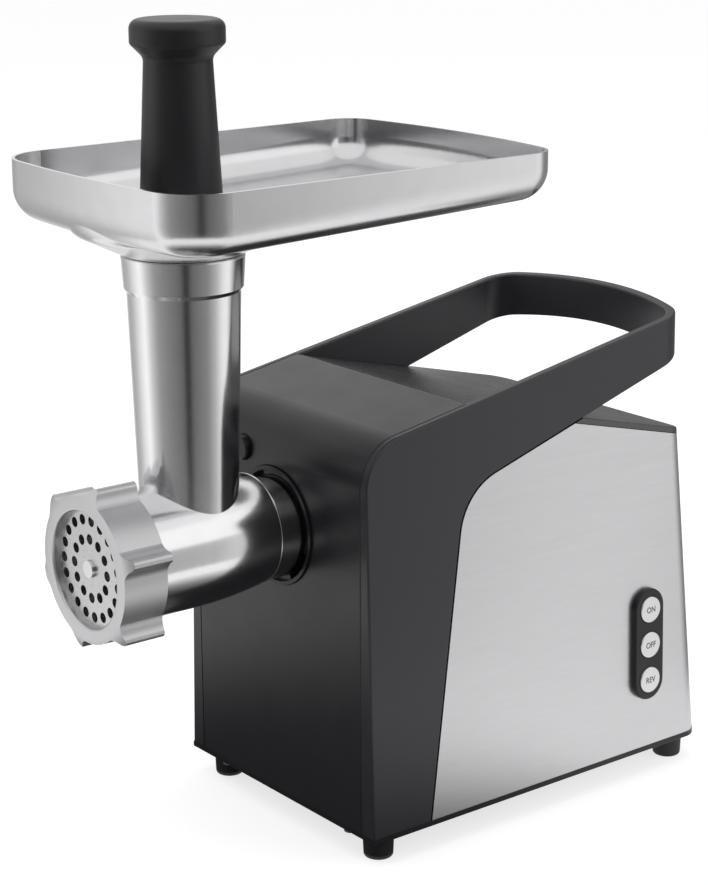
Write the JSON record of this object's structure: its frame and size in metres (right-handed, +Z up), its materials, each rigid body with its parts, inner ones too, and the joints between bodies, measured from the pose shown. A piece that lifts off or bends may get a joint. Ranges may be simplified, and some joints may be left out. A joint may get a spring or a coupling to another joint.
{
  "type": "electric meat grinder",
  "caption": "Countertop electric meat grinder: drafted motor housing with a loop handle, cast grinding head with ring nut and hole plate, polished feed tray and a mushroom-headed pusher.",
  "frame": {"origin": "middle of the footprint, on the table under the feet, on the middle plane of the body", "axes": "+Z up, -Y towards the grinding head at the front, +X towards the side with the buttons"},
  "size_m": [0.145, 0.3019, 0.3654],
  "materials": {
    "black_plastic": "satin moulded",
    "cover_plastic": "satin moulded",
    "housing_plastic": "matt moulded",
    "brushed_steel": "fine brushed",
    "rubber": "matt",
    "silver_plastic": "silver painted, satin",
    "circuit_board": "matt",
    "cast_aluminium": "polished casting",
    "satin_aluminium": "satin blasted casting",
    "polished_aluminium": "polished",
    "plate_steel": "ground",
    "nylon": "matt moulded",
    "gear_steel": "machined",
    "case_aluminium": "die cast",
    "bronze": "sintered",
    "core_steel": "laminated",
    "copper": "enamelled winding",
    "carbon": "matt",
    "fastener_steel": "zinc plated"
  },
  "bodies": {
    "body": {"base_plate": "black_plastic", "foot_front_left": "rubber", "foot_front_right": "rubber", "foot_rear_left": "rubber", "foot_rear_right": "rubber", "front_cover": "black_plastic", "handle_frame": "black_plastic", "steel_wrap": "brushed_steel", "rear_housing": "housing_plastic", "top_cover": "cover_plastic", "button_bezel": "black_plastic", "switch_board": "circuit_board", "push_switches": "circuit_board", "cord_inlet": "black_plastic", "head_socket": "black_plastic", "gear_case": "case_aluminium", "gear_case_cover": "case_aluminium", "gear_case_screws": "fastener_steel", "front_bush": "bronze", "rear_bush": "bronze", "first_axle": "gear_steel", "second_axle": "gear_steel", "motor_front_bracket": "case_aluminium", "motor_rear_bracket": "case_aluminium", "front_bearing": "gear_steel", "rear_bearing": "gear_steel", "stator_core": "core_steel", "field_coils": "copper", "carbon_brushes": "carbon", "brush_holders": "circuit_board", "motor_bolts": "fastener_steel", "motor_cradle": "housing_plastic", "base_screws": "fastener_steel"},
    "motor": {"motor_shaft": "gear_steel", "motor_pinion": "gear_steel", "cooling_fan": "nylon", "armature_core": "core_steel", "armature_winding": "copper", "commutator": "copper"},
    "first_wheel": {"first_gear": "nylon"},
    "second_wheel": {"second_gear": "gear_steel"},
    "screw_drive": {"output_gear": "gear_steel", "drive_shaft": "gear_steel", "feed_screw": "cast_aluminium", "cutter_blade": "plate_steel", "thrust_washer": "nylon"},
    "head": {"grinder_head": "cast_aluminium"},
    "plate": {"cutting_plate": "plate_steel"},
    "ring": {"ring_nut": "satin_aluminium"},
    "tray": {"feed_tray": "polished_aluminium"},
    "pusher_body": {"pusher": "black_plastic"},
    "on_key": {"on_button": "silver_plastic"},
    "off_key": {"off_button": "silver_plastic"},
    "reverse_key": {"reverse_button": "silver_plastic"},
    "release_key": {"release_button": "black_plastic"}
  },
  "joints": [
    {"name": "motor_spin", "type": "hinge", "parent": "body", "child": "motor", "pos_m": [0, -0.0518, 0.062], "axis": [0, 1, 0], "continuous": true},
    {"name": "first_gear_spin", "type": "hinge", "parent": "body", "child": "first_wheel", "pos_m": [-0.01598, -0.0518, 0.08915], "axis": [0, 1, 0], "continuous": true},
    {"name": "second_gear_spin", "type": "hinge", "parent": "body", "child": "second_wheel", "pos_m": [0.016, -0.0518, 0.10338], "axis": [0, 1, 0], "continuous": true},
    {"name": "screw_spin", "type": "hinge", "parent": "body", "child": "screw_drive", "pos_m": [0, -0.0518, 0.1414], "axis": [0, 1, 0], "continuous": true},
    {"name": "head_twist", "type": "hinge", "parent": "body", "child": "head", "pos_m": [0, -0.0518, 0.1414], "axis": [0, 1, 0], "range_deg": [0, 45]},
    {"name": "plate_slide", "type": "slide", "parent": "head", "child": "plate", "axis": [0, -1, 0], "range_m": [0, 0.018]},
    {"name": "ring_turn", "type": "hinge", "parent": "plate", "child": "ring", "pos_m": [0, -0.0518, 0.1414], "axis": [0, -1, 0], "range_deg": [0, 2160]},
    {"name": "tray_lift", "type": "slide", "parent": "head", "child": "tray", "axis": [0, 0, 1], "range_m": [0, 0.05]},
    {"name": "pusher_lift", "type": "slide", "parent": "head", "child": "pusher_body", "axis": [0, 0, 1], "range_m": [0, 0.14]},
    {"name": "on_press", "type": "slide", "parent": "body", "child": "on_key", "axis": [-0.9995, 0, -0.0314], "range_m": [0, 0.0015], "stiffness_N_per_m": 400},
    {"name": "off_press", "type": "slide", "parent": "body", "child": "off_key", "axis": [-0.9995, 0, -0.0314], "range_m": [0, 0.0015], "stiffness_N_per_m": 400},
    {"name": "reverse_press", "type": "slide", "parent": "body", "child": "reverse_key", "axis": [-0.9995, 0, -0.0314], "range_m": [0, 0.0015], "stiffness_N_per_m": 400},
    {"name": "release_press", "type": "slide", "parent": "body", "child": "release_key", "axis": [0, 1, 0], "range_m": [0, 0.002], "stiffness_N_per_m": 500}
  ],
  "couplings": [
    {"joint": "first_gear_spin", "follows": "motor_spin", "ratio": -0.16667},
    {"joint": "second_gear_spin", "follows": "motor_spin", "ratio": 0.045455},
    {"joint": "screw_spin", "follows": "motor_spin", "ratio": -0.014069},
    {"joint": "plate_slide", "follows": "ring_turn", "m_per_rad": 0.00047746}
  ]
}
